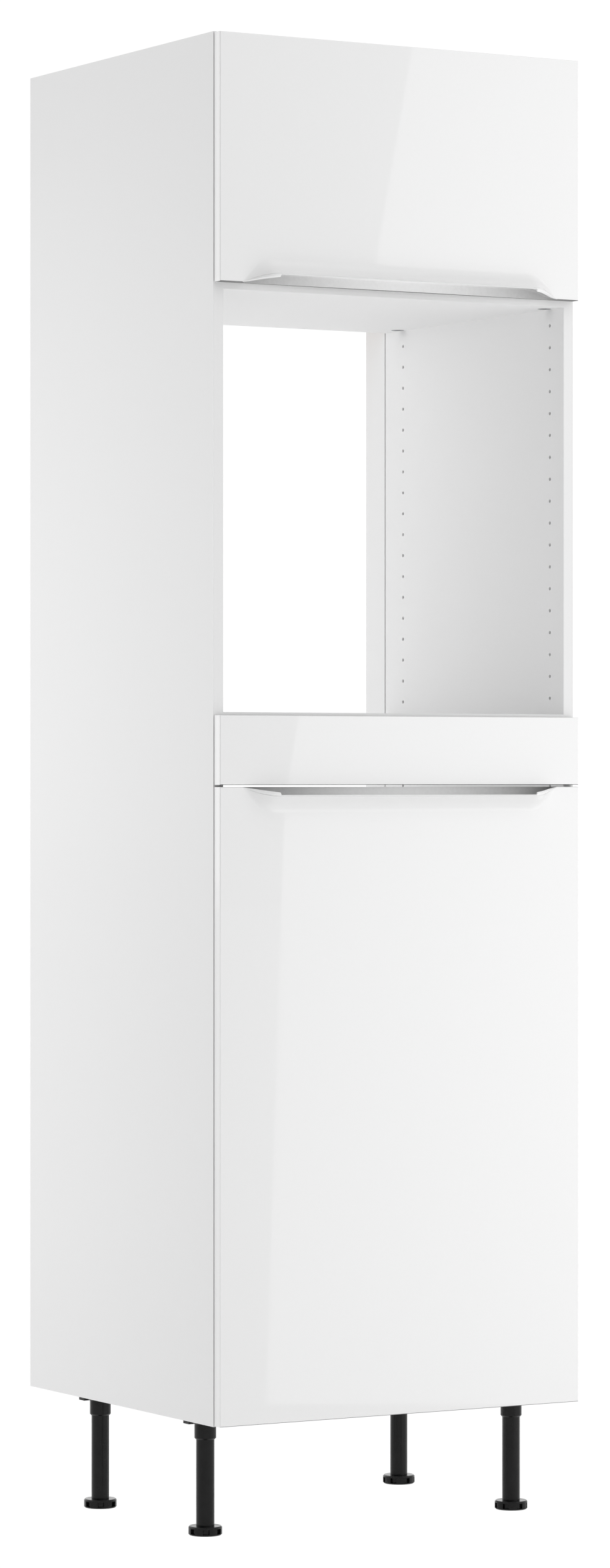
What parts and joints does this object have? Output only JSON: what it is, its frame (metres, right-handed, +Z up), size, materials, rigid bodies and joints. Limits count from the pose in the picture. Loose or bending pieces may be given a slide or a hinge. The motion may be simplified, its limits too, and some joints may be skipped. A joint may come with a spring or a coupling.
{
  "type": "appliance housing cabinet",
  "caption": "Tall kitchen cabinet on screw feet, with an open oven niche between a fridge compartment and a top cupboard, whose hinged doors have bulging finger lips.",
  "frame": {"origin": "on the floor, at the middle of the footprint with the handle lips included", "axes": "front faces -Y, +X to the right seen from the front, +Z up"},
  "size_m": [0.6, 0.6, 2.116],
  "materials": {
    "carcass_white": "satin",
    "hardboard_white": "matt",
    "front_white": "gloss",
    "connector_grey": "matt",
    "steel": "satin",
    "bumper_clear": "satin",
    "leg_black": "satin"
  },
  "bodies": {
    "carcass": {"side_panel_left": "carcass_white", "side_panel_right": "carcass_white", "top_panel": "carcass_white", "bottom_panel": "carcass_white", "niche_top_shelf": "carcass_white", "oven_shelf": "carcass_white", "upper_back_panel": "hardboard_white", "shelf_connectors": "connector_grey", "connector_bolts": "steel", "fascia_brackets": "steel", "fascia_screws": "steel", "hinge_arm_pins": "steel", "hinge_plate_screws": "steel", "leg_screws": "steel", "fascia_panel": "front_white", "hinge_plate_1": "steel", "hinge_arm_1": "steel", "leg_socket_1": "leg_black", "leg_tube_1": "leg_black", "hinge_plate_2": "steel", "hinge_arm_2": "steel", "leg_socket_2": "leg_black", "leg_tube_2": "leg_black", "hinge_plate_3": "steel", "hinge_arm_3": "steel", "leg_socket_3": "leg_black", "leg_tube_3": "leg_black", "hinge_plate_4": "steel", "hinge_arm_4": "steel", "leg_socket_4": "leg_black", "leg_tube_4": "leg_black"},
    "upper_hinge_links": {"hinge_link_1": "steel", "hinge_link_2": "steel"},
    "upper_door_leaf": {"upper_door": "front_white", "upper_door_handle": "front_white", "upper_handle_screws": "steel", "upper_door_bumpers": "bumper_clear", "hinge_cup_1": "steel", "hinge_cup_2": "steel", "upper_cup_pins": "steel", "upper_cup_screws": "steel"},
    "lower_hinge_links": {"hinge_link_3": "steel", "hinge_link_4": "steel"},
    "lower_door_leaf": {"lower_door": "front_white", "lower_door_handle": "front_white", "lower_handle_screws": "steel", "lower_door_bumpers": "bumper_clear", "hinge_cup_3": "steel", "hinge_cup_4": "steel", "lower_cup_pins": "steel", "lower_cup_screws": "steel"},
    "foot_front_left": {"leg_foot_1": "leg_black"},
    "foot_front_right": {"leg_foot_2": "leg_black"},
    "foot_rear_left": {"leg_foot_3": "leg_black"},
    "foot_rear_right": {"leg_foot_4": "leg_black"}
  },
  "joints": [
    {"name": "upper_door_hinge", "type": "hinge", "parent": "upper_hinge_links", "child": "upper_door_leaf", "pos_m": [0.288, -0.2665, 1.941], "axis": [0, 0, 1], "range_deg": [0, 138]},
    {"name": "upper_link_hinge", "type": "hinge", "parent": "carcass", "child": "upper_hinge_links", "pos_m": [0.27, -0.263, 1.941], "axis": [0, 0, 1], "range_deg": [-43, 0]},
    {"name": "lower_door_hinge", "type": "hinge", "parent": "lower_hinge_links", "child": "lower_door_leaf", "pos_m": [0.288, -0.2665, 0.613], "axis": [0, 0, 1], "range_deg": [0, 138]},
    {"name": "lower_link_hinge", "type": "hinge", "parent": "carcass", "child": "lower_hinge_links", "pos_m": [0.27, -0.263, 0.613], "axis": [0, 0, 1], "range_deg": [-43, 0]},
    {"name": "foot_front_left_height", "type": "slide", "parent": "carcass", "child": "foot_front_left", "axis": [0, 0, -1], "range_m": [0, 0.02]},
    {"name": "foot_front_right_height", "type": "slide", "parent": "carcass", "child": "foot_front_right", "axis": [0, 0, -1], "range_m": [0, 0.02]},
    {"name": "foot_rear_left_height", "type": "slide", "parent": "carcass", "child": "foot_rear_left", "axis": [0, 0, -1], "range_m": [0, 0.02]},
    {"name": "foot_rear_right_height", "type": "slide", "parent": "carcass", "child": "foot_rear_right", "axis": [0, 0, -1], "range_m": [0, 0.02]}
  ],
  "couplings": [
    {"joint": "upper_link_hinge", "follows": "upper_door_hinge", "ratio": -0.31},
    {"joint": "lower_link_hinge", "follows": "lower_door_hinge", "ratio": -0.31}
  ]
}
